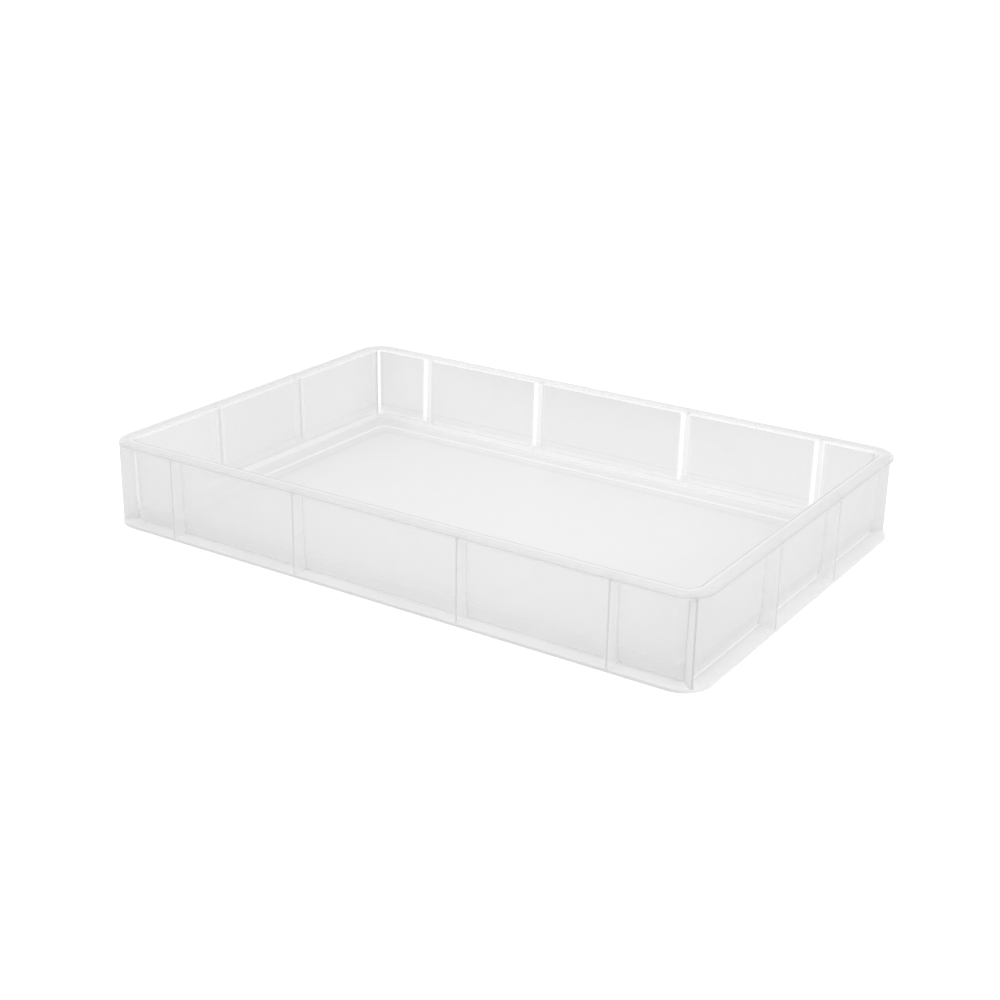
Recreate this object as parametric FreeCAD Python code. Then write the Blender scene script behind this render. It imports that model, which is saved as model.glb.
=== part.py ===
import FreeCAD, Part
import math
import os

# Shallow stackable tray for proofing dough, moulded in milky plastic.
# The moulding is divided into the regions a person would name: floor, flange, walls, rim and fins.
# The regions meet face to face. Sizes are in millimetres.
# Frame: +X along the long side, +Y towards the back, +Z up, origin at the middle of the underside.
# A profile is drawn as (inset, z) points, where inset is the distance in from the tray's outer edge.

# Overall size
length = 600.0
width = 400.0
height = 80.0

# Rim round the mouth: a flat plate with a lip turned down at its outer edge
rim_width = 14.5
rim_thickness = 2.5
lip_drop = 1.7
lip_thickness = 2.5
shoulder_radius = 2.5
mouth_edge_radius = 1.2

# Walls: nearly upright, with a bend near the foot where they lean further in
wall_thickness = 2.5
wall_draft = 1.0
bend_height = 18.5
foot_lean = 2.4
floor_corner_radius = 7.5

# Flange round the foot, level with the floor's border
flange_thickness = 3.0
flange_edge_radius = 0.8

# Floor: a border inside the walls, and a sunk panel inside the border
floor_thickness = 2.0
border_width = 18.0
border_slope = 3.0
panel_corner_radius = 8.0

# Fins between flange and rim, placed by the width of the bays between them
fin_thickness = 2.5
fin_setback = 0.4
long_middle_bay = 168.0
long_end_bay = 77.0
short_middle_bay = 120.0

# Places that follow from these sizes
rim_underside = height - rim_thickness
lip_bottom = rim_underside - lip_drop
wall_top_inset = rim_width - wall_thickness
bend_inset = wall_top_inset + wall_draft
foot_inset = bend_inset + foot_lean
floor_inset = foot_inset + wall_thickness
panel_inset = floor_inset + border_width + border_slope
corner_radius = floor_corner_radius + floor_inset
corner_x = length / 2 - corner_radius
corner_y = width / 2 - corner_radius

UP = FreeCAD.Vector(0, 0, 1)
ORIGIN = FreeCAD.Vector(0, 0, 0)

# Points nearer than this are one point
TOUCHING = 1e-6

# Each straight side: its turn about Z, the middle of its outer edge, and the length of its straight stretch
SIDES = {
    "front": (0, FreeCAD.Vector(0, -width / 2, 0), 2 * corner_x),
    "right": (90, FreeCAD.Vector(length / 2, 0, 0), 2 * corner_y),
    "back": (180, FreeCAD.Vector(0, width / 2, 0), 2 * corner_x),
    "left": (270, FreeCAD.Vector(-length / 2, 0, 0), 2 * corner_y),
}

# Each corner: its turn about Z and the centre that its arcs are struck from
CORNERS = {
    "back_right": (0, FreeCAD.Vector(corner_x, corner_y, 0)),
    "back_left": (90, FreeCAD.Vector(-corner_x, corner_y, 0)),
    "front_left": (180, FreeCAD.Vector(-corner_x, -corner_y, 0)),
    "front_right": (270, FreeCAD.Vector(corner_x, -corner_y, 0)),
}


def placed(shape, turn, place):
    """Return the shape turned about Z by turn degrees and then moved to place."""
    moved = shape.copy()
    moved.rotate(ORIGIN, UP, turn)
    moved.translate(place)
    return moved


def rounding(spots, radii, index):
    """Return where the rounding of a profile's corner starts, passes and stops.

    The radius is limited to what the two edges beside the corner leave: all of an edge whose other end
    is sharp, and half of one whose other end is rounded too. A sharp corner starts and stops on itself.
    """
    spot = spots[index]
    last = index - 1
    following = (index + 1) % len(spots)
    to_last = spots[last] - spot
    to_next = spots[following] - spot
    half_angle = to_last.getAngle(to_next) / 2
    room_before = to_last.Length / 2 if radii[last] else to_last.Length
    room_after = to_next.Length / 2 if radii[following] else to_next.Length
    reach = min(radii[index] / math.tan(half_angle), room_before, room_after)
    to_last.normalize()
    to_next.normalize()
    to_middle = (to_last + to_next).normalize()
    radius = reach * math.tan(half_angle)
    middle = spot + to_middle * (radius / math.sin(half_angle) - radius)
    return spot + to_last * reach, middle, spot + to_next * reach


def profile_face(points, position):
    """Return the face of a closed profile.

    Each point is (inset, z) or (inset, z, radius), where a radius rounds that corner with an arc.
    position turns a flat spot, with x as the inset and y as the height, into a point in space.
    """
    spots = [FreeCAD.Vector(point[0], point[1], 0) for point in points]
    radii = [point[2] if len(point) > 2 else 0.0 for point in points]
    corners = [[position(spot) for spot in rounding(spots, radii, index)] for index in range(len(points))]
    edges = []
    for index, (start, middle, stop) in enumerate(corners):
        if radii[index]:
            edges.append(Part.Arc(start, middle, stop).toShape())
        next_start = corners[(index + 1) % len(corners)][0]
        if stop.distanceToPoint(next_start) > TOUCHING:
            edges.append(Part.LineSegment(stop, next_start).toShape())
    return Part.Face(Part.Wire(edges))


def straight_stretch(points, start, run):
    """Return a profile carried along X for a distance run from start, with the outer edge on y = 0."""
    face = profile_face(points, lambda spot: FreeCAD.Vector(start, spot.x, spot.y))
    return face.extrude(FreeCAD.Vector(run, 0, 0))


def corner_sweep(points):
    """Return a profile turned a quarter of the way round a corner centre on the Z axis."""
    face = profile_face(points, lambda spot: FreeCAD.Vector(corner_radius - spot.x, 0, spot.y))
    return face.revolve(ORIGIN, UP, 90)


def outline(inset, radius, z):
    """Return the wire of a rounded rectangle, inset from the tray's outer edge, at height z."""
    reach_x = length / 2 - inset
    reach_y = width / 2 - inset
    bevel = radius * (1 - math.sqrt(0.5))
    edges = []
    for sign_x, sign_y in ((1, 1), (-1, 1), (-1, -1), (1, -1)):
        beside = FreeCAD.Vector(sign_x * reach_x, sign_y * (reach_y - radius), z)
        middle = FreeCAD.Vector(sign_x * (reach_x - bevel), sign_y * (reach_y - bevel), z)
        above = FreeCAD.Vector(sign_x * (reach_x - radius), sign_y * reach_y, z)
        ends = (beside, above) if sign_x == sign_y else (above, beside)
        if edges:
            edges.append(Part.LineSegment(edges[-1].lastVertex().Point, ends[0]).toShape())
        edges.append(Part.Arc(ends[0], middle, ends[1]).toShape())
    edges.append(Part.LineSegment(edges[-1].lastVertex().Point, edges[0].firstVertex().Point).toShape())
    return Part.Wire(edges)


def plate(inset, radius, thickness):
    """Return a flat rounded plate that lies on the ground."""
    return Part.Face(outline(inset, radius, 0)).extrude(UP * thickness)


def rim_profile():
    """Return the section of the rim: flat top, rounded shoulder and turned-down lip."""
    return [
        (0, lip_bottom),
        (0, height, shoulder_radius),
        (rim_width, height, mouth_edge_radius),
        (rim_width, rim_underside),
        (lip_thickness, rim_underside),
        (lip_thickness, lip_bottom),
    ]


def wall_profile():
    """Return the section of the wall, from its bend up to the underside of the rim."""
    return [
        (bend_inset, bend_height),
        (wall_top_inset, rim_underside),
        (wall_top_inset + wall_thickness, rim_underside),
        (bend_inset + wall_thickness, bend_height),
    ]


def wall_foot_profile():
    """Return the section of the wall's foot, which leans in from the bend down to the flange."""
    return [
        (foot_inset, flange_thickness),
        (bend_inset, bend_height),
        (bend_inset + wall_thickness, bend_height),
        (floor_inset, flange_thickness),
    ]


def flange_profile():
    """Return the section of the flange, which runs in under the foot of the wall."""
    return [
        (0, 0, flange_edge_radius),
        (0, flange_thickness, flange_edge_radius),
        (floor_inset, flange_thickness),
        (floor_inset, 0),
    ]


def fin_profile():
    """Return the outline of a fin, which follows the outside of the wall behind it."""
    return [
        (fin_setback, flange_thickness),
        (fin_setback, rim_underside),
        (wall_top_inset, rim_underside),
        (bend_inset, bend_height),
        (foot_inset, flange_thickness),
    ]


def ring_regions():
    """Return the flange, walls and rim, each in straight stretches and corners, by node name."""
    regions = {}
    sections = {
        "flange": flange_profile(),
        "wall_foot": wall_foot_profile(),
        "wall": wall_profile(),
        "rim": rim_profile(),
    }
    for region, points in sections.items():
        for side, (turn, place, run) in SIDES.items():
            regions[f"{region}_{side}"] = placed(straight_stretch(points, -run / 2, run), turn, place)
        for corner, (turn, place) in CORNERS.items():
            regions[f"{region}_corner_{corner}"] = placed(corner_sweep(points), turn, place)
    return regions


def side_fins(rims):
    """Return the fins of the straight sides, cut to pass under the lip of the rim."""
    long_inner = long_middle_bay / 2
    long_outer = length / 2 - long_end_bay
    long_places = (-long_outer, -long_inner, long_inner, long_outer)
    short_places = (-short_middle_bay / 2, short_middle_bay / 2)
    fins = {}
    for side, (turn, place, _) in SIDES.items():
        centres = long_places if side in ("front", "back") else short_places
        for number, centre in enumerate(centres, start=1):
            fin = straight_stretch(fin_profile(), centre - fin_thickness / 2, fin_thickness)
            fins[f"fin_{side}_{number}"] = placed(fin, turn, place).cut(rims[f"rim_{side}"])
    return fins


def corner_fins(rims):
    """Return the diagonal fin of each corner: a flat slice of the swept fin outline."""
    slab = Part.makeBox(corner_radius, fin_thickness, height, FreeCAD.Vector(0, -fin_thickness / 2, 0))
    slab.rotate(ORIGIN, UP, 45)
    fin = corner_sweep(fin_profile()).common(slab)
    fins = {}
    for corner, (turn, place) in CORNERS.items():
        fins[f"fin_corner_{corner}"] = placed(fin, turn, place).cut(rims[f"rim_corner_{corner}"])
    return fins


def floor_regions():
    """Return the sunk floor panel and the border round it, whose inner edge slopes down to the panel."""
    panel = plate(panel_inset, panel_corner_radius, floor_thickness)
    slope = Part.makeLoft(
        [
            outline(panel_inset, panel_corner_radius, floor_thickness),
            outline(panel_inset - border_slope, panel_corner_radius + border_slope, flange_thickness),
        ],
        True,
        True,
    )
    border = plate(floor_inset, floor_corner_radius, flange_thickness).cut(panel).cut(slope)
    return {"floor_panel": panel, "floor_border": border}


def single_solid(shape):
    """Return the one solid that a shape holds."""
    solids = shape.Solids
    assert len(solids) == 1, f"expected one solid, found {len(solids)}"
    return solids[0]


def main():
    """Build every region and write one file for each."""
    nodes = floor_regions()
    ring = ring_regions()
    nodes.update(ring)
    nodes.update(side_fins(ring))
    nodes.update(corner_fins(ring))
    os.makedirs("parts", exist_ok=True)
    volume = 0.0
    for name, shape in nodes.items():
        solid = single_solid(shape)
        assert solid.isValid(), f"{name} is not a valid solid"
        solid.exportStep(f"parts/{name}.step")
        volume += solid.Volume
    print(f"{len(nodes)} nodes, {volume / 1000:.1f} cubic centimetres")


main()
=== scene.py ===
"""Looks of a shallow stackable tray for proofing dough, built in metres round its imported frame."""
import logging
import math
from dataclasses import dataclass
from enum import Enum
from typing import Any

import bpy
import numpy as np
from mathutils import Matrix, Vector


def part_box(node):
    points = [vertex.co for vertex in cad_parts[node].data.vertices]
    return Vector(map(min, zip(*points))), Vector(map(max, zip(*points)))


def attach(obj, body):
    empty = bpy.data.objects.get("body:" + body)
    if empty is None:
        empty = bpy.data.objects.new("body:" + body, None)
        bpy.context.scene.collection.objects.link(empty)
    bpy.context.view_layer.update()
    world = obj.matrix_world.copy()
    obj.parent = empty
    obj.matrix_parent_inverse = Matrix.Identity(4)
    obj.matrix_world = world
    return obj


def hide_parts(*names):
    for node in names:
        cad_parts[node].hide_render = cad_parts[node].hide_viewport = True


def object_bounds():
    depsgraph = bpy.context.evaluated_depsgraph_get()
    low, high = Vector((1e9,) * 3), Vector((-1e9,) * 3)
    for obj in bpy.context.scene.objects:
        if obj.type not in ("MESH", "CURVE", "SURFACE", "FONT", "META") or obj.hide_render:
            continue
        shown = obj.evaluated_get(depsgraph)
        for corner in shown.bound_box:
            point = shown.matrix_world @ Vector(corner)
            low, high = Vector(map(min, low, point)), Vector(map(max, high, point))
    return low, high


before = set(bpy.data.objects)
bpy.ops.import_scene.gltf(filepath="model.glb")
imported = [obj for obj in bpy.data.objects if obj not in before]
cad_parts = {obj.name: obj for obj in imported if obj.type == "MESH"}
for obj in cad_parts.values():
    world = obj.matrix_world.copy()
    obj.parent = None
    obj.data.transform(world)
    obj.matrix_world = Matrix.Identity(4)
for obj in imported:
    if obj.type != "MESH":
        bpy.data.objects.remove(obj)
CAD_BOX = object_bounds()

log = logging.getLogger("tray")

Colour = tuple[float, float, float, float]

MM = 0.001
SEAM = 0.05 * MM
SEAT_FACING = 0.7
NOISE_MIDDLE = 0.5
BODY = "root"


class Side(Enum):
    """A straight side of the tray, by its outward direction."""

    FRONT = (0, -1)
    RIGHT = (1, 0)
    BACK = (0, 1)
    LEFT = (-1, 0)


class Corner(Enum):
    """A rounded corner of the tray, by the signs of its place."""

    BACK_RIGHT = (1, 1)
    BACK_LEFT = (-1, 1)
    FRONT_LEFT = (-1, -1)
    FRONT_RIGHT = (1, -1)


class Trait(Enum):
    """A value that a mesh keeps at its points, for its material to read."""

    INSET = "inset"
    DEPTH = "depth"
    # The tone paints highlight and shade into a material's colour.
    TONE = "tone"
    INNER = "inner"


def grey(level: float) -> Colour:
    """Make an opaque grey."""
    return (level, level, level, 1.0)


def ring_nodes(region: str) -> list[str]:
    """Name the four sides and the four corners of a packed region that goes right round the tray."""
    sides = [f"{region}_{side.name.lower()}" for side in Side]
    return sides + [f"{region}_corner_{corner.name.lower()}" for corner in Corner]


@dataclass(frozen=True)
class TraySizes:
    """The tray's sizes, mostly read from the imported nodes. An inset is a distance in from the outer edge."""

    half_length: float
    half_width: float
    height: float
    corner_radius: float
    rim_width: float
    rim_underside: float
    lip_bottom: float
    wall_top_inset: float
    wall_thickness: float
    bend_inset: float
    bend_height: float
    foot_inset: float
    floor_inset: float
    flange_thickness: float
    floor_thickness: float
    panel_inset: float
    fin_thickness: float
    fin_setback: float
    inner_fin: float
    outer_fin: float
    short_fin: float
    lip_thickness: float = 2.5 * MM

    @classmethod
    def measured(cls) -> "TraySizes":
        """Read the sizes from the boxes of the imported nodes.

        Returns:
            The sizes in metres.
        """
        low, high = CAD_BOX
        rim_low, rim_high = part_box("rim_front")
        wall_low, wall_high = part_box("wall_front")
        foot_low, foot_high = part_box("wall_foot_front")
        corner_low, corner_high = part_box("rim_corner_back_right")
        panel_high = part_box("floor_panel")[1]
        fin_low, fin_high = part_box("fin_front_1")
        bend_inset = foot_low.y - low.y
        floor_inset = foot_high.y - low.y
        wall_thickness = wall_high.y - low.y - bend_inset
        return cls(
            half_length=high.x,
            half_width=high.y,
            height=high.z,
            corner_radius=corner_high.x - corner_low.x,
            rim_width=rim_high.y - rim_low.y,
            rim_underside=wall_high.z,
            lip_bottom=rim_low.z,
            wall_top_inset=wall_low.y - low.y,
            wall_thickness=wall_thickness,
            bend_inset=bend_inset,
            bend_height=wall_low.z,
            foot_inset=floor_inset - wall_thickness,
            floor_inset=floor_inset,
            flange_thickness=foot_low.z,
            floor_thickness=panel_high.z,
            panel_inset=high.x - panel_high.x,
            fin_thickness=fin_high.x - fin_low.x,
            fin_setback=fin_low.y - low.y,
            inner_fin=cls.middle("fin_front_3").x,
            outer_fin=cls.middle("fin_front_4").x,
            short_fin=cls.middle("fin_right_2").y,
        )

    @staticmethod
    def middle(node: str) -> Vector:
        """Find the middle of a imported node's box."""
        low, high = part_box(node)
        return (low + high) / 2


@dataclass(frozen=True)
class Section:
    """An outline of (inset, height, radius) corners, each rounded by an arc."""

    corners: tuple[tuple[float, float, float], ...]
    arc_steps: int = 5

    def rounded(self) -> tuple[np.ndarray, np.ndarray]:
        """Work out the outline's points and outward normals.

        Each arc touches the two edges beside its corner. Its centre lies on the corner's bisector, at the
        radius over the sine of the half angle, and its spokes turn evenly between the touching points.

        Returns:
            The points and the normals, both as (inset, height) rows in order.
        """
        table = np.array(self.corners, float)
        spots, radii = table[:, :2], table[:, 2:]
        before = np.roll(spots, 1, axis=0) - spots
        after = np.roll(spots, -1, axis=0) - spots
        area = np.sum(spots[:, 0] * np.roll(spots[:, 1], -1) - spots[:, 1] * np.roll(spots[:, 0], -1))
        before /= np.linalg.norm(before, axis=1, keepdims=True)
        after /= np.linalg.norm(after, axis=1, keepdims=True)
        half = np.arccos(np.sum(before * after, axis=1, keepdims=True)) / 2
        bisector = before + after
        bisector /= np.linalg.norm(bisector, axis=1, keepdims=True)
        centres = spots + bisector * radii / np.sin(half)
        start = spots + before * radii / np.tan(half) - centres
        stop = spots + after * radii / np.tan(half) - centres
        share = np.linspace(0, 1, self.arc_steps + 1)
        sweep = math.pi - 2 * half
        from_start = np.sin((1 - share) * sweep)[..., None] * start[:, None]
        from_stop = np.sin(share * sweep)[..., None] * stop[:, None]
        spokes = (from_start + from_stop) / np.sin(sweep)[..., None]
        turn = np.sign((before[:, 1] * after[:, 0] - before[:, 0] * after[:, 1]) * area)
        points = centres[:, None] + spokes
        normals = spokes / radii[:, None] * turn[:, None, None]
        return points.reshape(-1, 2), normals.reshape(-1, 2)

    def open_rounded(self) -> tuple[np.ndarray, np.ndarray]:
        """Leave the edge from the last corner to the first out of the rounded outline."""
        points, normals = self.rounded()
        return points[self.arc_steps : -self.arc_steps], normals[self.arc_steps : -self.arc_steps]

    def spread(self, values: tuple[float, ...]) -> np.ndarray:
        """Give every point of a corner's arc that corner's value."""
        return np.repeat(values, self.arc_steps + 1)


@dataclass(frozen=True)
class Looks:
    """How a section's points look, as arrays with one value for each point.

    The depth is the plastic that lies behind the point, in plate thicknesses. The tones, on the long and on
    the short sides, go from -1 for painted shade to 1 for painted highlight; the short sides get tones of
    their own because the light falls on them otherwise. A point inside the tray has an inner share of 1.
    """

    depths: np.ndarray
    tones: np.ndarray
    short_tones: np.ndarray
    inner: np.ndarray


@dataclass(frozen=True)
class Loft:
    """A surface on a grid of points, whose second axis goes right round."""

    points: np.ndarray
    normals: np.ndarray
    traits: dict[Trait, np.ndarray]

    def made(self, name: str, capped: bool) -> bpy.types.Object:
        """Put the surface into a mesh with its own normals.

        Args:
            name: The piece's name.
            capped: Whether the first and last rows are closed by flat faces. Otherwise they join each other.

        Returns:
            The piece, in the scene.
        """
        rows, columns = self.points.shape[:2]
        row = np.arange(rows - 1 if capped else rows)[:, None] * columns
        above = (row + columns) % (rows * columns)
        column = np.arange(columns)
        beside = (column + 1) % columns
        grid = [row + column, row + beside, above + beside, above + column]
        quads = np.stack(grid, axis=-1).reshape(-1, 4)
        spots, meant = self.points.reshape(-1, 3), self.normals.reshape(-1, 3)
        first, second, third, fourth = np.moveaxis(spots[quads], 1, 0)
        facing = np.cross(third - first, fourth - second)
        # Faces that point against the surface's own normals are turned over.
        order = -1 if np.sum(facing * meant[quads].sum(axis=1)) < 0 else 1
        quads = quads[:, ::order]
        faces = quads.tolist()
        normals = [meant[quads].reshape(-1, 3)]
        if capped:
            around = np.arange(columns)[::order]
            for end in (around[::-1], (rows - 1) * columns + around):
                faces.append(end.tolist())
                normals.append(np.broadcast_to(self.cap_normal(spots[end]), (columns, 3)))
        mesh = bpy.data.meshes.new(name)
        mesh.from_pydata(spots.tolist(), [], faces, shade_flat=False)
        mesh.normals_split_custom_set(np.concatenate(normals))
        for trait, values in self.traits.items():
            layer = mesh.attributes.new(trait.value, "FLOAT", "POINT")
            layer.data.foreach_set("value", values.astype(np.float32).ravel())
        piece = bpy.data.objects.new(name, mesh)
        bpy.context.scene.collection.objects.link(piece)
        return piece

    @staticmethod
    def cap_normal(spots: np.ndarray) -> np.ndarray:
        """Find the direction that a flat end faces: half the sum of the cross products round its edge."""
        across = np.cross(spots, np.roll(spots, -1, axis=0)).sum(axis=0)
        return across / np.linalg.norm(across)


class Wire:
    """A node's output in one material, with operators that add Math nodes."""

    def __init__(self, sheet: "NodeSheet", output: bpy.types.NodeSocket) -> None:
        """Keep the output and the sheet that it belongs to."""
        self.sheet = sheet
        self.output = output

    def __add__(self, other: "Wire | float") -> "Wire":
        """Add another value."""
        return self.sheet.maths("ADD", self, other)

    def __sub__(self, other: "Wire | float") -> "Wire":
        """Take another value away."""
        return self.sheet.maths("SUBTRACT", self, other)

    def __rsub__(self, other: float) -> "Wire":
        """Take this value away from a number."""
        return self.sheet.maths("SUBTRACT", other, self)

    def __mul__(self, other: "Wire | float") -> "Wire":
        """Multiply by another value."""
        return self.sheet.maths("MULTIPLY", self, other)

    def __truediv__(self, other: "Wire | float") -> "Wire":
        """Divide by another value."""
        return self.sheet.maths("DIVIDE", self, other)


class NodeSheet:
    """A node tree, with methods that add to it."""

    def __init__(self, tree: bpy.types.NodeTree) -> None:
        """Empty the tree, so that every node in it comes from this sheet."""
        self.tree = tree
        self.tree.nodes.clear()

    def node(self, kind: str, settings: dict[str, Any], sockets: dict[str | int, Any]) -> bpy.types.Node:
        """Add a node.

        Args:
            kind: The node's type.
            settings: The node's own settings, which are set first.
            sockets: A value or a wire for each input, by the input's name or number.

        Returns:
            The node.
        """
        made = self.tree.nodes.new(kind)
        for setting, value in settings.items():
            setattr(made, setting, value)
        for socket, value in sockets.items():
            if isinstance(value, Wire):
                self.tree.links.new(value.output, made.inputs[socket])
            else:
                made.inputs[socket].default_value = value
        return made

    def wire(self, kind: str, output: str, settings: dict[str, Any], sockets: dict[str | int, Any]) -> Wire:
        """Add a node and return one of its outputs, by name."""
        return Wire(self, self.node(kind, settings, sockets).outputs[output])

    def maths(self, operation: str, *values: Wire | float, clamp: bool = False) -> Wire:
        """Add a Math node and return its value."""
        settings = {"operation": operation, "use_clamp": clamp}
        return self.wire("ShaderNodeMath", "Value", settings, dict(enumerate(values)))

    def most(self, first: Wire, second: Wire | float) -> Wire:
        """Take the greater of two values."""
        return self.maths("MAXIMUM", first, second)

    def size(self, value: Wire) -> Wire:
        """Drop a value's sign."""
        return self.maths("ABSOLUTE", value)

    def sign(self, value: Wire) -> Wire:
        """Keep only a value's sign."""
        return self.maths("SIGN", value)

    def step(self, value: Wire, low: float, high: float) -> Wire:
        """Rise smoothly from nought where a value is low to one where it is high."""
        sockets = {0: value, 1: low, 2: high, 3: 0.0, 4: 1.0}
        return self.wire("ShaderNodeMapRange", "Result", {"interpolation_type": "SMOOTHSTEP"}, sockets)

    def noise(self, place: Wire, detail: float, scale: float = 1.0) -> Wire:
        """Add soft noise between nought and one."""
        sockets = {"Vector": place, "Scale": scale, "Detail": detail}
        return self.wire("ShaderNodeTexNoise", "Fac", {}, sockets)

    def trait(self, trait: Trait) -> Wire:
        """Read a value that the mesh keeps at its points."""
        return self.wire("ShaderNodeAttribute", "Fac", {"attribute_name": trait.value}, {})

    def mixed(self, share: Wire, first: Wire | Colour, second: Colour) -> Wire:
        """Mix two colours by a share."""
        mix = self.node("ShaderNodeMix", {"data_type": "RGBA"}, {0: share, 6: first, 7: second})
        return Wire(self, mix.outputs[2])

    def seen_rays(self) -> Wire:
        """Tell rays that look at the background, also in gloss and through glass, from those that light.

        Returns:
            One for a ray that looks, and nought for a ray that lights.
        """
        path = self.node("ShaderNodeLightPath", {}, {})
        camera, glossy, through, spread = (
            Wire(self, path.outputs[name])
            for name in ("Is Camera Ray", "Is Glossy Ray", "Is Transmission Ray", "Is Diffuse Ray")
        )
        return self.most(self.most(camera, glossy), through * (1 - spread))


class Across(Enum):
    """What a painted line is placed by."""

    INSET = "inset"
    HEIGHT = "height"
    LONG_FINS = "from a long side's fin"
    SHORT_FINS = "from a short side's fin"
    CORNER_FINS = "from a corner's fin"


@dataclass(frozen=True)
class PaintedLine:
    """A painted line that is paler, darker or clearer than the rest, all over or only inside.

    Most are painted highlight or painted shade, in place of light caught and bent along the moulding's
    edges, bend, foot and fins; a clearer line lets the bright fins behind a wall show through as painted
    light. It is whole as far as it reaches, and then fades over its soft edge. Its lengths are in millimetres.
    """

    across: Across
    at: float
    reach: float
    soft: float
    tone: float = 0.0
    clear: float = 0.0
    inside: bool = False


@dataclass(frozen=True)
class MilkyFinish:
    """Satin, milky, see-through plastic as it comes out of the mould, with highlight and shade painted in.

    The density is the share of a straight look that one plate hides. The mouth shade is the share, painted
    dark, of a look that leaves by the mouth's upright face, which starts at the mouth's inset: a painted
    shade in place of light turned back inside the plastic. The highlight and shade colours paint highlight
    and shade by the tone.
    """

    name: str
    sizes: TraySizes
    density: float
    colour: Colour = grey(0.84)
    # Highlight and shade colours, mixed in by the tone as painted light and shade.
    highlight_colour: Colour = grey(0.98)
    shade_colour: Colour = grey(0.5)
    glow_colour: Colour = grey(0.9)
    painted_lines: tuple[PaintedLine, ...] = ()
    glow: float = 0.5
    cloudiness: float = 0.16
    cloud_scale: float = 9.0
    cloud_detail: float = 3.0
    roughness: float = 0.36
    roughness_spread: float = 0.1
    streak_stretch: tuple[float, float, float] = (6.0, 6.0, 60.0)
    streak_detail: float = 5.0
    grain_scale: float = 900.0
    grain_detail: float = 2.0
    grain_depth: float = 0.02 * MM
    grain_strength: float = 0.05
    refraction: float = 1.49
    grazing_limit: float = 0.12
    # A painted shade where a look leaves by the mouth's upright face.
    mouth_shade: float = 0.0
    mouth_inset: float = 14.1 * MM
    mouth_soft: float = 0.3 * MM
    corner_soft: float = 1.0 * MM
    elsewhere: float = 1.0

    def material(self) -> bpy.types.Material:
        """Make the finish: haze as far as a look is hidden, and clear air for the rest of it.

        Returns:
            The material.
        """
        made = bpy.data.materials.new(self.name)
        made.use_nodes = True
        sheet = MilkySheet(made.node_tree, self)
        # The tone and the painted lines paint highlight and shade into the finish.
        tone, milkiness = sheet.paint_lines()
        hidden = sheet.hidden(tone, milkiness)
        clear = sheet.wire("ShaderNodeBsdfTransparent", "BSDF", {}, {})
        mix = {0: hidden, 1: clear, 2: sheet.haze(tone)}
        plastic = sheet.wire("ShaderNodeMixShader", "Shader", {}, mix)
        sheet.node("ShaderNodeOutputMaterial", {}, {"Surface": plastic})
        return made


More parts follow.
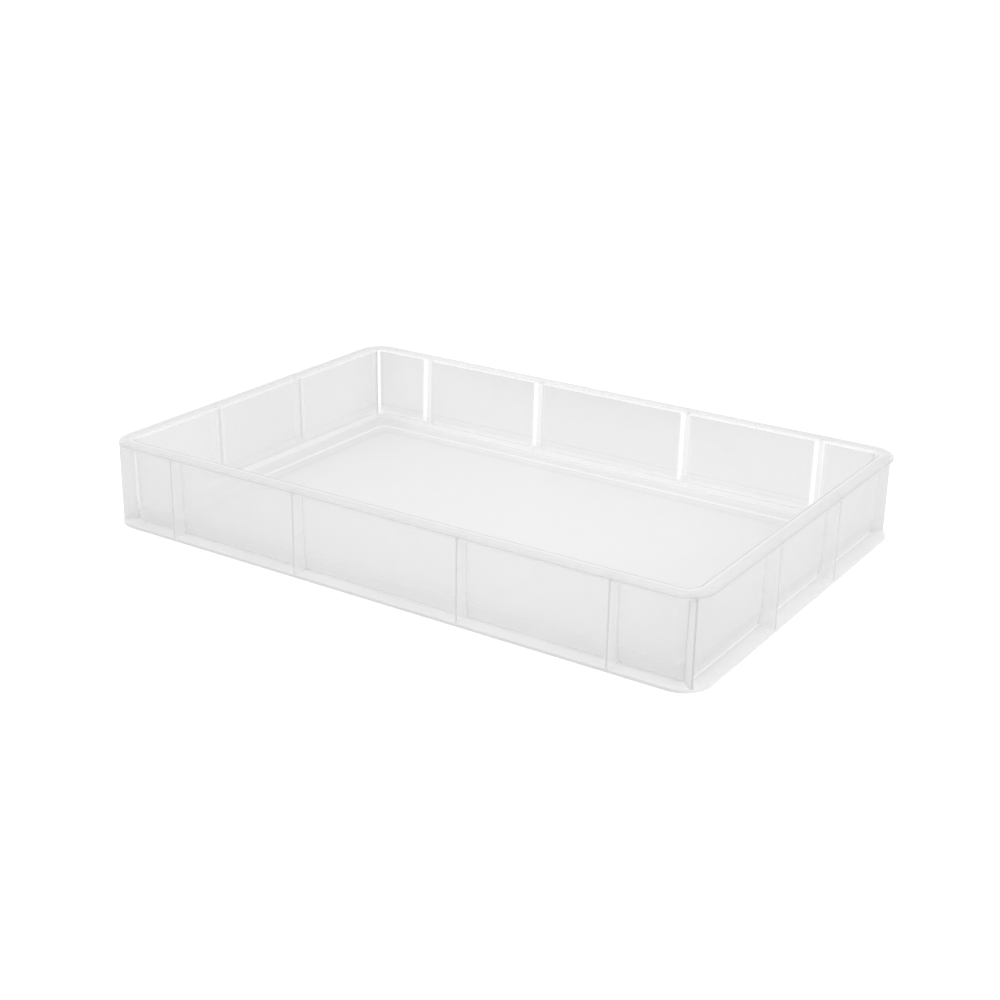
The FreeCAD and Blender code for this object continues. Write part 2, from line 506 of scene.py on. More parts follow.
class MilkySheet(NodeSheet):
    """The node tree of a milky finish. Its leaving is 1 where a look leaves the plastic, and else 0."""

    def __init__(self, tree: bpy.types.NodeTree, finish: MilkyFinish) -> None:
        """Start the tree with what many of its nodes read."""
        super().__init__(tree)
        self.finish = finish
        self.place = self.wire("ShaderNodeTexCoord", "Object", {}, {})
        self.leaving = self.wire("ShaderNodeNewGeometry", "Backfacing", {}, {})

    def milkiness(self) -> Wire:
        """Work out the share of a straight look that one plate hides: faint clouds about the density."""
        cloud = self.noise(self.place, self.finish.cloud_detail, self.finish.cloud_scale)
        return (cloud - NOISE_MIDDLE) * self.finish.cloudiness + self.finish.density

    def satin(self) -> Wire:
        """Make the fine grain of the satin surface.

        Returns:
            The normal.
        """
        f = self.finish
        grain = self.noise(self.place, f.grain_detail, f.grain_scale)
        bump = {"Strength": f.grain_strength, "Distance": f.grain_depth, "Height": grain}
        return self.wire("ShaderNodeBump", "Normal", {}, bump)

    def rulers(self) -> dict[Across, Wire]:
        """Measure what the creases are placed by.

        The nearest fin of a long side is so far away along X, that of a short side along Y, and that of a
        corner from the diagonal. The first two grow towards the back right corner on the back and the right
        side, and towards the front left corner on the others, which is where this viewpoint sees a fin show
        through its wall, so that the painted bright bands and shade beside the fins fall on that side. A fin
        of another stretch counts as a long way away.

        Returns:
            A wire for each kind of ruler.
        """
        f, s = self.finish, self.finish.sizes
        axes = self.node("ShaderNodeSeparateXYZ", {}, {0: self.place})
        x, y, z = (Wire(self, axis) for axis in axes.outputs)
        along, over = self.size(x), self.size(y)
        end_x = s.half_length - s.corner_radius
        end_y = s.half_width - s.corner_radius
        past_x = self.step(along, end_x, end_x + f.corner_soft)
        past_y = self.step(over, end_y, end_y + f.corner_soft)
        outer = self.maths("GREATER_THAN", along, (s.inner_fin + s.outer_fin) / 2)
        nearest = outer * (s.outer_fin - s.inner_fin) + s.inner_fin
        from_long = (x - self.sign(x) * nearest) * self.sign(y)
        from_short = (y - self.sign(y) * s.short_fin) * self.sign(x)
        from_corner = self.size(along - over - (s.half_length - s.half_width)) * math.sqrt(0.5)
        return {
            Across.INSET: self.trait(Trait.INSET),
            Across.HEIGHT: z,
            Across.LONG_FINS: from_long + (1 - past_y * (1 - past_x)) * f.elsewhere,
            Across.SHORT_FINS: from_short + (1 - past_x * (1 - past_y)) * f.elsewhere,
            Across.CORNER_FINS: from_corner + (1 - past_x * past_y) * f.elsewhere,
        }

    def paint_lines(self) -> tuple[Wire, Wire]:
        """Draw the painted lines, which paint highlight and shade, into the tone that the mesh keeps and into
        the milkiness.

        Returns:
            The tone, which is 1 for painted highlight, 0 for plain and -1 for painted shade, and the
            milkiness.
        """
        tone, milkiness = self.trait(Trait.TONE), self.milkiness()
        rulers = self.rulers() if self.finish.painted_lines else {}
        for painted_line in self.finish.painted_lines:
            # Each painted line adds painted highlight or shade to the tone, or makes the plastic clearer.
            away = self.size(rulers[painted_line.across] - painted_line.at * MM)
            line = 1 - self.step(away, painted_line.reach * MM, (painted_line.reach + painted_line.soft) * MM)
            if painted_line.inside:
                line = line * self.trait(Trait.INNER)
            if painted_line.tone:
                tone = tone + line * painted_line.tone
            if painted_line.clear:
                milkiness = milkiness * (1 - line * painted_line.clear)
        return tone, milkiness

    def haze(self, tone: Wire) -> Wire:
        """Make what a look meets: satin plastic that takes light from in front and from behind.

        It is pale or dark by its tone, which paints highlight and shade, and is painted dark where a look
        leaves. A plain tone takes the most light from behind. The gloss has long flow streaks.

        Args:
            tone: The tone, which paints highlight and shade.

        Returns:
            The shader.
        """
        f = self.finish
        pale = self.maths("ADD", tone, 0.0, clamp=True)
        dark = self.maths("SUBTRACT", 0.0, tone, clamp=True)
        # Painted highlight and shade by the tone, and painted shade where a look leaves.
        lighter = self.mixed(pale, f.colour, f.highlight_colour)
        drawn = {"Vector": self.place, "Scale": f.streak_stretch}
        flow = self.wire("ShaderNodeMapping", "Vector", {}, drawn)
        streak = self.noise(flow, f.streak_detail)
        satin = {
            "Base Color": self.mixed(self.most(dark, self.leaving), lighter, f.shade_colour),
            "Roughness": (streak - NOISE_MIDDLE) * f.roughness_spread + f.roughness,
            "Normal": self.satin(),
            "IOR": f.refraction,
        }
        front = self.wire("ShaderNodeBsdfPrincipled", "BSDF", {}, satin)
        back = self.wire("ShaderNodeBsdfTranslucent", "BSDF", {}, {"Color": f.glow_colour})
        glow = (1 - self.size(tone)) * (1 - self.leaving) * f.glow
        return self.wire("ShaderNodeMixShader", "Shader", {}, {0: glow, 1: front, 2: back})

    def hidden(self, tone: Wire, milkiness: Wire) -> Wire:
        """Work out the share of a look that the plastic hides.

        A look is dimmed where it enters. What passes is one less the milkiness, raised to the depth of
        plastic in the way, which grows with the painted tone's strength and as the surface turns aside: the
        depth over the cosine. A look that leaves is hidden only by the painted mouth shade.

        Args:
            tone: The tone, which paints highlight and shade.
            milkiness: The share of a straight look that one plate hides.

        Returns:
            The share.
        """
        f = self.finish
        # Facing is one less the cosine when the blend is even.
        aside = self.wire("ShaderNodeLayerWeight", "Facing", {}, {"Blend": 0.5})
        cosine = self.most(1 - aside, f.grazing_limit)
        path = self.trait(Trait.DEPTH) * (self.size(tone) + 1) / cosine
        passed = self.maths("POWER", 1 - milkiness, path)
        entering = (1 - passed) * (1 - self.leaving)
        if not f.mouth_shade:
            return entering
        # The mouth's upright face is painted dark where a look leaves by it: painted shade.
        mouth = self.step(self.trait(Trait.INSET), f.mouth_inset, f.mouth_inset + f.mouth_soft)
        return entering + mouth * f.mouth_shade * self.leaving


def settled(piece: bpy.types.Object, finish: bpy.types.Material, nodes: list[str]) -> bpy.types.Object:
    """Dress a piece, put it on the tray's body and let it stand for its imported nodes.

    Args:
        piece: The piece.
        finish: Its material.
        nodes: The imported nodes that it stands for.

    Returns:
        The piece.
    """
    piece.data.materials.append(finish)
    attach(piece, BODY)
    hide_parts(*nodes)
    return piece


@dataclass(frozen=True)
class Ring:
    """A region that goes right round the tray: four corner arcs joined by straight sides."""

    sizes: TraySizes
    arc_steps: int = 20
    side_steps: int = 30

    def carry(self, section: np.ndarray, normals: np.ndarray, radii: np.ndarray, looks: Looks) -> Loft:
        """Carry a section round the tray.

        A point of the section goes round a rounded rectangle: the corner arc's centre is in from the outer
        edge by the inset and the radius, its spokes turn evenly through each quarter, and the stretch
        between two arcs is divided evenly. The painted tone turns from the long sides' to the short sides'
        with the square of the spoke's share along X, since light and shade are painted otherwise on the
        short sides.

        Args:
            section: The section's points, as (inset, height) rows.
            normals: The section's outward normals, as (inset, height) rows.
            radii: The radius of the corner arc for each of the section's points.
            looks: How each of the section's points looks.

        Returns:
            The surface, with the section along its first axis and the way round along its second.
        """
        signs = np.array([corner.value for corner in Corner], float)
        angles = np.linspace(0, math.pi / 2, self.arc_steps + 1) + np.arange(4)[:, None] * math.pi / 2
        spokes = np.stack([np.cos(angles), np.sin(angles)], axis=-1)
        halves = np.array([self.sizes.half_length, self.sizes.half_width])
        reach = halves - section[:, :1] - radii[:, None]
        arcs = signs[None, :, None] * reach[:, None, None] + radii[:, None, None, None] * spokes
        share = np.linspace(0, 1, self.side_steps + 1)[1:-1, None]
        following = np.roll(arcs[:, :, :1], -1, axis=1)
        straights = arcs[:, :, -1:] * (1 - share) + following * share
        ways = np.concatenate([arcs, straights], axis=2).reshape(len(section), -1, 2)
        sides = np.repeat(spokes[:, -1:], self.side_steps - 1, axis=1)
        outward = np.concatenate([spokes, sides], axis=1).reshape(1, -1, 2)
        grid = ways.shape[:2]
        heights = np.broadcast_to(section[:, 1:, None], grid + (1,))
        flat = -normals[:, :1, None] * outward
        upward = np.broadcast_to(normals[:, 1:, None], grid + (1,))
        # Share of the short sides' painted light and shade.
        short = outward[..., 0] ** 2
        traits = {
            Trait.INSET: np.broadcast_to(section[:, :1], grid),
            Trait.DEPTH: np.broadcast_to(looks.depths[:, None], grid),
            Trait.TONE: looks.tones[:, None] * (1 - short) + looks.short_tones[:, None] * short,
            Trait.INNER: np.broadcast_to(looks.inner[:, None], grid),
        }
        points = np.concatenate([ways, heights], axis=2)
        return Loft(points, np.concatenate([flat, upward], axis=2), traits)


@dataclass(frozen=True)
class Rim(Ring):
    """The flat rim round the mouth, with its rounded shoulder and its lip turned down.

    The depths and tones belong to the corners of its section. The tones are painted highlights: along the
    lip's lower edge, on the mouth and under it.
    """

    shoulder_radius: float = 2.5 * MM
    mouth_radius: float = 1.2 * MM
    lip_radius: float = 0.5 * MM
    inner_radius: float = 0.6 * MM
    seat_radius: float = 0.1 * MM
    depths: tuple[float, ...] = (2.0, 1.0, 2.0, 0.0, 1.0, 1.0)
    tones: tuple[float, ...] = (0.7, 0.0, 0.2, 0.6, 0.0, 0.0)

    def build(self) -> bpy.types.Object:
        """Carry the rim's section, a flat plate with a lip at its outer edge, round the tray.

        Returns:
            The rim.
        """
        s = self.sizes
        corners = (
            (0.0, s.lip_bottom, self.lip_radius),
            (0.0, s.height, self.shoulder_radius),
            (s.rim_width, s.height, self.mouth_radius),
            (s.rim_width, s.rim_underside, self.seat_radius),
            (s.lip_thickness, s.rim_underside, self.inner_radius),
            (s.lip_thickness, s.lip_bottom, self.lip_radius),
        )
        section = Section(corners)
        points, normals = section.rounded()
        radii = s.corner_radius - points[:, 0]
        tones = section.spread(self.tones)
        looks = Looks(section.spread(self.depths), tones, tones, np.zeros(len(points)))
        return self.carry(points, normals, radii, looks).made("moulded_rim", False)

    def finish(self) -> MilkyFinish:
        """Choose the rim's plastic: a painted shade line at the outer edge, a painted highlight band and a
        clearer painted shade line near the mouth, which is painted dark where a look leaves it, and fine lines
        over the fins.

        Returns:
            The finish.
        """
        painted_lines = (
            # Painted shade at the outer edge, a painted highlight band and a clearer painted shade line by the
            # mouth.
            PaintedLine(Across.INSET, at=0.0, reach=0.15, soft=0.5, tone=-0.6),
            PaintedLine(Across.INSET, at=10.8, reach=0.6, soft=1.0, tone=0.4),
            PaintedLine(Across.INSET, at=13.2, reach=0.6, soft=1.2, tone=-0.15, clear=0.5),
            PaintedLine(Across.LONG_FINS, at=0.0, reach=0.4, soft=0.5, tone=-0.3),
            PaintedLine(Across.SHORT_FINS, at=0.0, reach=0.4, soft=0.5, tone=-0.3),
        )
        return MilkyFinish("milky_rim", self.sizes, density=0.45, painted_lines=painted_lines, mouth_shade=1.0)

    def dress(self) -> list[bpy.types.Object]:
        """Build the rim and give it its finish."""
        return [settled(self.build(), self.finish().material(), ring_nodes("rim"))]


@dataclass(frozen=True)
class Walls(Ring):
    """The thin walls, bent near the foot, with a small fillet where they stand on flange and floor.

    The tones and inner shares belong to the corners of their section. The tones are painted light and
    shade: painted shade on the inner face from under the rim down to the bend, a painted highlight on the
    inner foot's fillet, and on the outer foot painted shade on the long sides but a painted highlight on the
    short sides, where the light falls otherwise. One corner, with a slight crown, only ends a painted tone
    on the outer foot.
    """

    bend_radius: float = 2.0 * MM
    foot_fillet: float = 1.2 * MM
    fillet_edge: float = 0.15 * MM
    edge_radius: float = 0.05 * MM
    line_top: float = 4.7 * MM
    line_crown: float = 0.02 * MM
    tones: tuple[float, ...] = (0.0, -0.15, 0.0, 0.0, 0.0, 0.0, -0.48, -0.3, 1.0, 1.0, 0.0)
    short_tones: tuple[float, ...] = (0.0, 1.0, 0.8, 0.35, 0.0, 0.0, -0.25, -0.25, 1.0, 1.0, 0.0)
    inner: tuple[float, ...] = (0.0, 0.0, 0.0, 0.0, 0.0, 0.0, 1.0, 1.0, 0.2, 0.0, 0.0)

    def build(self) -> bpy.types.Object:
        """Carry the wall's section, two slanted stretches with a fillet at the foot, round the tray.

        Returns:
            The walls.
        """
        s = self.sizes
        base = s.flange_thickness + SEAM
        top = s.rim_underside - SEAM
        fillet_top = base + self.fillet_edge
        fillet = self.foot_fillet - 2 * self.edge_radius
        outer_toe = s.foot_inset - self.foot_fillet
        inner_toe = s.floor_inset + self.foot_fillet
        foot = [fillet_top, s.bend_height], [s.foot_inset, s.bend_inset]
        line_inset = float(np.interp(self.line_top, *foot)) - self.line_crown
        corners = (
            (outer_toe, base, self.edge_radius),
            (outer_toe, fillet_top, self.edge_radius),
            (s.foot_inset, fillet_top, fillet),
            (line_inset, self.line_top, self.edge_radius),
            (s.bend_inset, s.bend_height, self.bend_radius),
            (s.wall_top_inset, top, self.edge_radius),
            (s.wall_top_inset + s.wall_thickness, top, self.edge_radius),
            (s.bend_inset + s.wall_thickness, s.bend_height, self.bend_radius),
            (s.floor_inset, fillet_top, fillet),
            (inner_toe, fillet_top, self.edge_radius),
            (inner_toe, base, self.edge_radius),
        )
        section = Section(corners)
        points, normals = section.rounded()
        radii = s.corner_radius - points[:, 0]
        seats = np.isclose(points[:, 1], base) | np.isclose(points[:, 1], top)
        tones = section.spread(self.tones), section.spread(self.short_tones)
        looks = Looks(1.0 - seats, *tones, section.spread(self.inner))
        return self.carry(points, normals, radii, looks).made("moulded_wall", False)

    def finish(self) -> MilkyFinish:
        """Choose the walls' plastic: painted shade along the bend and above the foot, painted highlight and
        shade lines along the foot, and paler, clearer bands with shade beside them where the fins show through
        inside, painted in as light.

        Returns:
            The finish.
        """
        painted_lines = (
            # Painted shade along the bend and in a band above the foot, and painted highlight and shade lines
            # along the foot.
            PaintedLine(Across.HEIGHT, at=self.sizes.bend_height / MM, reach=0.3, soft=0.5, tone=-0.2),
            PaintedLine(Across.HEIGHT, at=13.5, reach=3.0, soft=1.5, tone=-0.15),
            PaintedLine(Across.INSET, at=16.5, reach=0.3, soft=0.45, tone=-0.3),
            PaintedLine(Across.INSET, at=17.45, reach=0.3, soft=0.2, tone=0.8),
            PaintedLine(Across.INSET, at=18.6, reach=0.35, soft=0.3, tone=-0.5),
            # Paler, clearer bands by the fins, with painted shade beside some, paint the light the fins catch
            # and show through the wall.
            PaintedLine(Across.LONG_FINS, at=0.6, reach=1.6, soft=1.0, clear=0.6, inside=True),
            PaintedLine(Across.LONG_FINS, at=3.2, reach=4.2, soft=1.5, tone=1.4, clear=0.3, inside=True),
            PaintedLine(Across.LONG_FINS, at=9.0, reach=1.2, soft=1.2, tone=0.35, clear=-0.35, inside=True),
            PaintedLine(Across.SHORT_FINS, at=3.4, reach=1.2, soft=1.2, clear=0.15, inside=True),
            PaintedLine(Across.SHORT_FINS, at=7.2, reach=0.8, soft=1.2, tone=-0.2, inside=True),
            PaintedLine(Across.SHORT_FINS, at=12.7, reach=3.5, soft=1.2, clear=0.22, inside=True),
            PaintedLine(Across.CORNER_FINS, at=0.0, reach=1.2, soft=0.6, tone=0.3, clear=0.6, inside=True),
            PaintedLine(Across.CORNER_FINS, at=0.0, reach=4.0, soft=2.0, tone=-0.2, inside=True),
        )
        return MilkyFinish("milky_wall", self.sizes, density=0.5, painted_lines=painted_lines)

    def dress(self) -> list[bpy.types.Object]:
        """Build the walls and give them their finish."""
        nodes = ring_nodes("wall") + ring_nodes("wall_foot")
        return [settled(self.build(), self.finish().material(), nodes)]


@dataclass(frozen=True)
class Flange(Ring):
    """The flat flange round the foot, which runs in under the wall."""

    edge_radius: float = 0.8 * MM
    lower_radius: float = 0.3 * MM
    seat_radius: float = 0.1 * MM
    edge_depth: float = 4.0
    # Painted light and shade: the outer edge is painted dark on the long sides and pale on the short sides,
    # and the short sides are painted darker towards the wall.
    edge_shade: float = -0.5
    lower_edge: float = 0.6
    short_edge_highlight: float = 0.3
    short_wall_shade: float = -0.4

    def build(self) -> bpy.types.Object:
        """Carry the flange's section, a flat plate with a rounded outer edge, round the tray.

        Returns:
            The flange.
        """
        s = self.sizes
        corners = (
            (0.0, 0.0, self.lower_radius),
            (0.0, s.flange_thickness, self.edge_radius),
            (s.floor_inset, s.flange_thickness, self.seat_radius),
            (s.floor_inset, 0.0, self.seat_radius),
        )
        points, normals = Section(corners).rounded()
        radii = s.corner_radius - points[:, 0]
        outward = np.clip(-normals[:, 0], 0, 1)
        depths = np.where(normals[:, 0] > SEAT_FACING, 0.0, 1 + outward * (self.edge_depth - 1))
        low = points[:, 1] < self.edge_radius
        # The share of the outer edge's painted shade and highlight, strongest where it faces out and on its
        # lower rounding.
        edge_paint = np.where(low, np.maximum(outward, self.lower_edge), outward**2)
        # Painted shade on the short sides that grows towards the wall.
        shade_toward_wall = points[:, 0] / s.floor_inset * self.short_wall_shade
        tones = edge_paint * self.edge_shade, edge_paint * self.short_edge_highlight + shade_toward_wall
        looks = Looks(depths, *tones, np.zeros(len(points)))
        return self.carry(points, normals, radii, looks).made("moulded_flange", False)

    def dress(self) -> list[bpy.types.Object]:
        """Build the flange and give it its finish, which is clearer than the walls'."""
        # Its plain colour is paler than the walls', as painted light.
        finish = MilkyFinish("milky_flange", self.sizes, density=0.35, colour=grey(0.9))
        return [settled(self.build(), finish.material(), ring_nodes("flange"))]


@dataclass(frozen=True)
class Floor(Ring):
    """The floor: a border inside the walls that slopes down to a slightly sunk panel."""

    slope: float = 3.0 * MM
    panel_radius: float = 8.0 * MM
    slope_rounding: float = 1.0 * MM
    seat_radius: float = 0.1 * MM
    middle_inset: float = 60.0 * MM

    def build(self) -> bpy.types.Object:
        """Carry the floor's section round the tray and close its middle, above and below, with flat faces.

        Returns:
            The floor.
        """
        s = self.sizes
        edge = s.floor_inset + SEAM
        slope_inset = s.panel_inset - self.slope
        corners = (
            (self.middle_inset, 0.0, self.seat_radius),
            (edge, 0.0, self.seat_radius),
            (edge, s.flange_thickness, self.seat_radius),
            (slope_inset, s.flange_thickness, self.slope_rounding),
            (s.panel_inset, s.floor_thickness, self.slope_rounding),
            (self.middle_inset, s.floor_thickness, self.seat_radius),
        )
        points, normals = Section(corners).open_rounded()
        radii = np.interp(
            points[:, 0],
            [edge, slope_inset, s.panel_inset, self.middle_inset],
            [s.corner_radius - edge, self.panel_radius + self.slope, self.panel_radius, self.panel_radius],
        )
        plain = np.zeros(len(points))
        looks = Looks(1.0 - (normals[:, 0] < -SEAT_FACING), plain, plain, plain)
        return self.carry(points, normals, radii, looks).made("moulded_floor", True)

    def finish(self) -> MilkyFinish:
        """Choose the floor's plastic: a painted highlight along the panel's slope, and a faint dark band
        inside that.

        Returns:
            The finish.
        """
        painted_lines = (
            PaintedLine(Across.INSET, at=self.sizes.panel_inset / MM - 2.4, reach=0.9, soft=0.8, tone=1.0),
            PaintedLine(Across.INSET, at=49.5, reach=2.0, soft=2.0, tone=-0.14),
        )
        # The floor's plain colour is paler than the walls', as painted light on its upward face.
        return MilkyFinish("milky_floor", self.sizes, 0.62, grey(0.92), painted_lines=painted_lines, glow=0.05)

    def dress(self) -> list[bpy.types.Object]:
        """Build the floor and give it its finish."""
        return [settled(self.build(), self.finish().material(), ["floor_panel", "floor_border"])]


@dataclass(frozen=True)
class FinPlan:
    """A fin's outline seen from above, as arrays with one value for each of its points.

    The distance is from the edge where at_edge is true, and otherwise from the wall. The normal is given
    by its sideways and outward shares.
    """

    distance: np.ndarray
    at_edge: np.ndarray
    across: np.ndarray
    sideways: np.ndarray
    outward: np.ndarray
    depths: np.ndarray
    tones: np.ndarray


@dataclass(frozen=True)
class Fins:
    """The upright fins between flange and rim, each flared where it joins the moulding."""

    sizes: TraySizes
    draft: float = 0.15 * MM
    flare: float = 0.9 * MM
    edge_radius: float = 0.8 * MM
    root_depth: float = 3.0
    edge_depth: float = 5.0
    # Painted shade at the root and along the edge, and a painted highlight on the sides.
    root_shade: float = -0.9
    side_highlight: float = 0.4
    edge_shade: float = -0.7
    join_edge: float = 0.05 * MM
    arc_steps: int = 5
    upright_steps: int = 12

    @staticmethod
    def looped(parts: list[Any], mirror: int) -> np.ndarray:
        """Join one half of a loop from its parts, and follow it back, times the mirror's sign."""
        half = np.concatenate(parts)
        return np.concatenate([half, half[::-1] * mirror])

    def plan(self) -> FinPlan:
        """Work out the fin's outline seen from above, as a loop.

        Each half starts at the wall, flares in by a quarter circle to half the thickness, runs out to the
        edge and rounds off by another quarter circle. The other half mirrors it.

        Returns:
            The outline.
        """
        turn = np.linspace(0, math.pi / 2, self.arc_steps + 1)
        sine, cosine = np.sin(turn), np.cos(turn)
        half = self.sizes.fin_thickness / 2
        across = [
            [half + self.flare - self.join_edge],
            half + self.flare * (1 - sine),
            half - self.draft - self.edge_radius * (1 - cosine),
        ]
        tones = [
            [0.0],
            self.side_highlight + (1 - sine) * (self.root_shade - self.side_highlight),
            self.side_highlight + sine * (self.edge_shade - self.side_highlight),
        ]
        depths = [[0.0], 1 + (1 - sine) * (self.root_depth - 1), 1 + sine * (self.edge_depth - 1)]
        at_edge = np.repeat([False, True], [1 + len(turn), len(turn)])
        return FinPlan(
            distance=self.looped([[0.0], self.flare * (1 - cosine), self.edge_radius * (1 - sine)], 1),
            at_edge=np.concatenate([at_edge, at_edge[::-1]]),
            across=self.looped(across, -1),
            sideways=self.looped([[0.0], sine, cosine], -1),
            outward=self.looped([[1.0], cosine, sine], 1),
            depths=self.looped(depths, 1),
            tones=self.looped(tones, 1),
        )

    def rows(self) -> tuple[np.ndarray, np.ndarray, np.ndarray, np.ndarray]:
        """Work out the fin's levels from the flange up to the rim.

        The foot flares by a quarter circle on to the flange. The edge stands at the setback up to the lip,
        and steps in behind the lip above that.

        Returns:
            For each level: its height, the inset of the edge, the width that the flare adds, and the turn of
            the flare's normal, which is a right angle where the fin stands straight.
        """
        s = self.sizes
        turn = np.linspace(0, math.pi / 2, self.arc_steps + 1)
        lip = s.lip_bottom - SEAM
        foot = s.flange_thickness + SEAM + self.flare * (1 - np.cos(turn))
        upright = np.linspace(foot[-1], lip, self.upright_steps + 1)[1:]
        behind_lip = [lip, s.rim_underside - SEAM]
        heights = np.concatenate([foot, upright, behind_lip])
        straight = len(heights) - len(foot)
        levels = [len(foot) + len(upright), len(behind_lip)]
        edges = np.repeat([s.fin_setback, s.lip_thickness + SEAM], levels)
        widths = np.concatenate([self.flare * (1 - np.sin(turn)), np.zeros(straight)])
        turns = np.concatenate([turn, np.full(straight, math.pi / 2)])
        return heights, edges, widths, turns

    def build(self, name: str, foot: np.ndarray, outward: np.ndarray) -> bpy.types.Object:
        """Carry the fin's plan up its levels, following the outside of the wall.

        Args:
            name: The piece's name.
            foot: The point of the tray's outer edge that the fin stands at.
            outward: The direction out of the tray there.

        Returns:
            The fin.
        """
        s = self.sizes
        plan = self.plan()
        heights, edges, widths, turns = self.rows()
        wall = np.interp(
            heights,
            [s.flange_thickness, s.bend_height, s.rim_underside],
            [s.foot_inset, s.bend_inset, s.wall_top_inset],
        )
        from_wall = wall[:, None] - SEAM - plan.distance
        insets = np.where(plan.at_edge, edges[:, None] + plan.distance, from_wall)
        sideways = plan.across + np.sign(plan.across) * widths[:, None]
        along = np.array([-outward[1], outward[0]])
        flat = foot - insets[..., None] * outward + sideways[..., None] * along
        upright = np.broadcast_to(heights[:, None, None], insets.shape + (1,))
        facing = plan.sideways[:, None] * along + plan.outward[:, None] * outward
        leaning = np.sin(turns)[:, None, None] * facing
        rising = np.broadcast_to(np.cos(turns)[:, None, None], insets.shape + (1,))
        level = np.arange(len(heights))[:, None]
        seated = (level == 0) | (level == len(heights) - 1)
        traits = {
            Trait.DEPTH: np.where(seated, 0.0, plan.depths),
            Trait.TONE: np.broadcast_to(plan.tones, insets.shape),
        }
        points = np.concatenate([flat, upright], axis=2)
        return Loft(points, np.concatenate([leaning, rising], axis=2), traits).made(name, True)

    def places(self) -> dict[str, tuple[np.ndarray, np.ndarray]]:
        """Find where each packed fin stands.

        Returns:
            For each node: its point on the tray's outer edge and the outward direction there.
        """
        s = self.sizes
        halves = np.array([s.half_length, s.half_width])
        found = {}
        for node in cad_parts:
            side = next((side for side in Side if node.startswith(f"fin_{side.name.lower()}_")), None)
            corner = next((corner for corner in Corner if node == f"fin_corner_{corner.name.lower()}"), None)
            if side is not None:
                low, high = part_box(node)
                outward = np.array(side.value, float)
                middle = np.array((low + high).xy) / 2
                found[node] = (np.where(outward == 0, middle, outward * halves), outward)
            elif corner is not None:
                outward = np.array(corner.value) * math.sqrt(0.5)
                centre = np.array(corner.value) * (halves - s.corner_radius)
                found[node] = (centre + outward * s.corner_radius, outward)
        return found

    def dress(self) -> list[bpy.types.Object]:
        """Build every fin and give it its finish: paler than the walls' as painted light, and at the corners
        darker as painted shade and hiding more.

        Returns:
            The fins.
        """
        # Corner fins are painted darker as shade; side fins are painted paler as light.
        shaded_grey = grey(0.77)
        on_side = MilkyFinish("milky_fin", self.sizes, 0.22, grey(0.92)).material()
        on_corner = MilkyFinish("milky_corner_fin", self.sizes, 0.8, shaded_grey, shaded_grey).material()
        dressed = []
        for node, place in self.places().items():
            fin = self.build(f"moulded_{node}", *place)
            dressed.append(settled(fin, on_corner if "corner" in node else on_side, [node]))
        return dressed


def aimed(yaw: float, pitch: float) -> Matrix:
    """Turn what looks straight down so that it looks along a yaw and down by a pitch, both in degrees."""
    lifted = Matrix.Rotation(math.radians(90 - pitch), 4, "X")
    return Matrix.Rotation(math.radians(yaw), 4, "Z") @ lifted


@dataclass(frozen=True)
class Viewpoint:
    """The camera, by its place and its turns. The focal length is in pixels of the square image."""

    eye: tuple[float, float, float] = (768.9 * MM, -1194.5 * MM, 578.4 * MM)
    yaw: float = 32.941
    pitch: float = 21.21
    roll: float = -1.021
    focal_pixels: float = 1660.7
    image_pixels: float = 1000.0
    sensor: float = 36.0

    def build(self) -> None:
        """Set up the camera: it faces along the yaw, down by the pitch, and leans by the roll."""
        camera = bpy.data.cameras.new("viewpoint")
        camera.sensor_width = self.sensor
        camera.lens = self.sensor * self.focal_pixels / self.image_pixels
        placed = bpy.data.objects.new("viewpoint", camera)
        leaning = Matrix.Rotation(-math.radians(self.roll), 4, "Z")
        placed.matrix_world = Matrix.Translation(self.eye) @ aimed(self.yaw, self.pitch) @ leaning
        bpy.context.scene.collection.objects.link(placed)
        bpy.context.scene.camera = placed


@dataclass(frozen=True)
class Softbox:
    """A square lamp that faces the middle of the tray.

    Its azimuth goes from straight in front of the tray towards the tray's right.
    """

    name: str
    azimuth: float
    elevation: float
    distance: float
    size: float
    watts: float

    def build(self) -> None:
        """Set up the lamp at its azimuth, elevation and distance."""
        lamp = bpy.data.lights.new(self.name, "AREA")
        lamp.size = self.size
        lamp.energy = self.watts
        placed = bpy.data.objects.new(self.name, lamp)
        away = Matrix.Translation((0.0, 0.0, self.distance))
        placed.matrix_world = aimed(self.azimuth, self.elevation) @ away
        bpy.context.scene.collection.objects.link(placed)


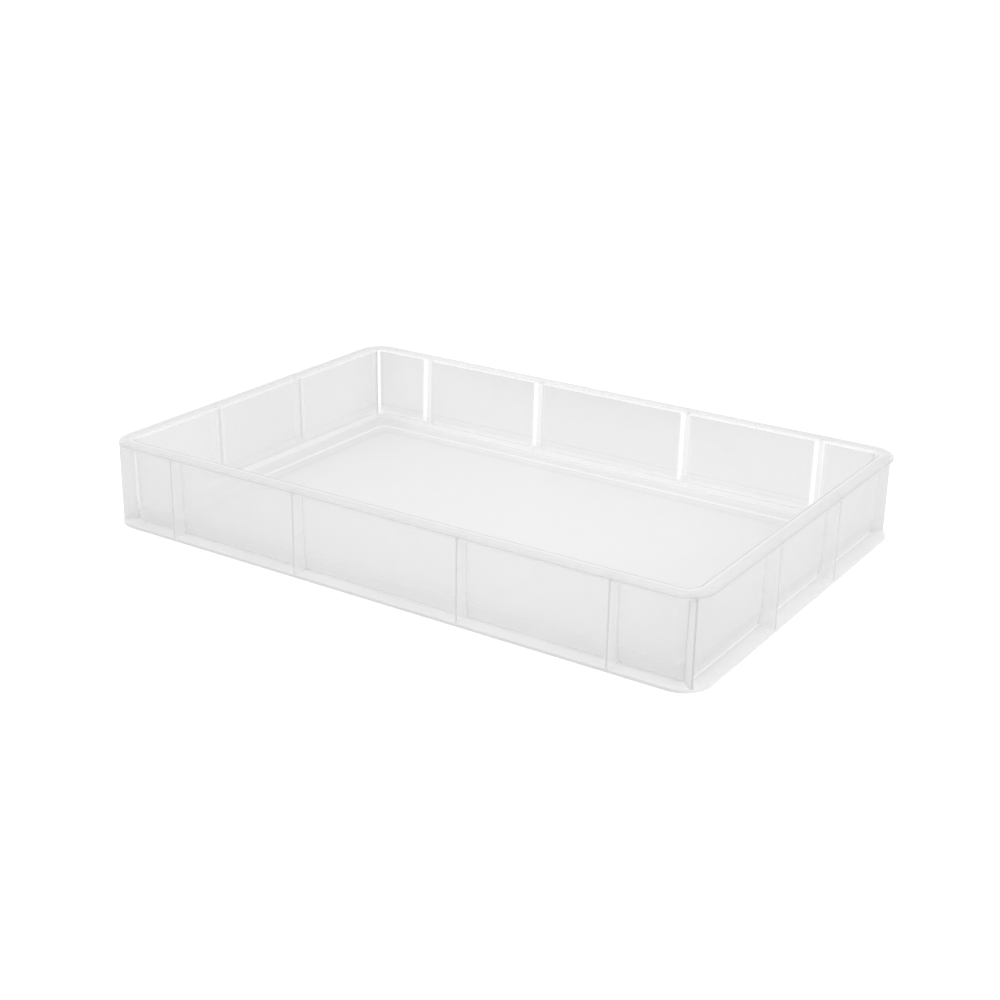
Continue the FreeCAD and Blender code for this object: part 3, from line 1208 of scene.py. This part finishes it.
@dataclass(frozen=True)
class Studio:
    """A plain white studio: a pale floor, an even sky and soft lamps."""

    floor_reach: float = 30.0
    floor_drop: float = 0.3 * MM
    floor_shade: Colour = grey(0.95)
    floor_lift: float = 0.25
    sky_colour: Colour = grey(1.0)
    sky_level: float = 0.82
    see_through_layers: int = 32
    light_bounces: int = 8
    lamps: tuple[Softbox, ...] = (
        Softbox("key", azimuth=85.0, elevation=35.0, distance=2.4, size=1.4, watts=9.0),
        Softbox("fill", azimuth=-20.0, elevation=30.0, distance=2.4, size=1.6, watts=9.0),
        Softbox("back", azimuth=208.0, elevation=7.0, distance=2.4, size=0.8, watts=4.0),
    )

    def floor_finish(self) -> bpy.types.Material:
        """Make the floor's matt paint, lifted to white for rays that see it, so that only shadows show.

        Returns:
            The material.
        """
        made = bpy.data.materials.new("studio_floor")
        made.use_nodes = True
        sheet = NodeSheet(made.node_tree)
        matt = sheet.wire("ShaderNodeBsdfDiffuse", "BSDF", {}, {"Color": self.floor_shade})
        strength = sheet.seen_rays() * self.floor_lift
        lift = sheet.wire("ShaderNodeEmission", "Emission", {}, {"Strength": strength})
        both = sheet.wire("ShaderNodeAddShader", "Shader", {}, {0: matt, 1: lift})
        sheet.node("ShaderNodeOutputMaterial", {}, {"Surface": both})
        return made

    def lay_floor(self) -> None:
        """Lay a wide floor just under the tray."""
        corners = np.array([corner.value for corner in Corner]) * self.floor_reach
        spots = np.concatenate([corners, np.full((4, 1), -self.floor_drop)], axis=1)
        mesh = bpy.data.meshes.new("studio_floor")
        mesh.from_pydata(spots.tolist(), [], [(0, 1, 2, 3)])
        mesh.materials.append(self.floor_finish())
        ground = bpy.data.objects.new("studio_floor", mesh)
        bpy.context.scene.collection.objects.link(ground)

    def light_sky(self) -> None:
        """Light the sky evenly, in full for rays that see it."""
        world = bpy.data.worlds.new("studio_sky")
        world.use_nodes = True
        sheet = NodeSheet(world.node_tree)
        level = sheet.seen_rays() * (1.0 - self.sky_level) + self.sky_level
        even = {"Strength": level, "Color": self.sky_colour}
        sky = sheet.wire("ShaderNodeBackground", "Background", {}, even)
        sheet.node("ShaderNodeOutputWorld", {}, {"Surface": sky})
        bpy.context.scene.world = world

    def build(self) -> None:
        """Lay the floor, light the sky, set up the lamps and let light through every layer of plastic."""
        self.lay_floor()
        self.light_sky()
        for lamp in self.lamps:
            lamp.build()
        scene = bpy.context.scene
        scene.view_settings.view_transform = "Standard"
        scene.cycles.transparent_max_bounces = self.see_through_layers
        scene.cycles.diffuse_bounces = self.light_bounces


def main() -> None:
    """Build the tray's regions in order, then the studio and the camera, and log each piece's faces."""
    logging.basicConfig(level=logging.INFO, format="%(name)s: %(message)s")
    sizes = TraySizes.measured()
    for region in (Floor(sizes), Flange(sizes), Walls(sizes), Fins(sizes), Rim(sizes)):
        for piece in region.dress():
            log.info("%s: %d faces", piece.name, len(piece.data.polygons))
    Studio().build()
    Viewpoint().build()


if __name__ == "__main__":
    main()
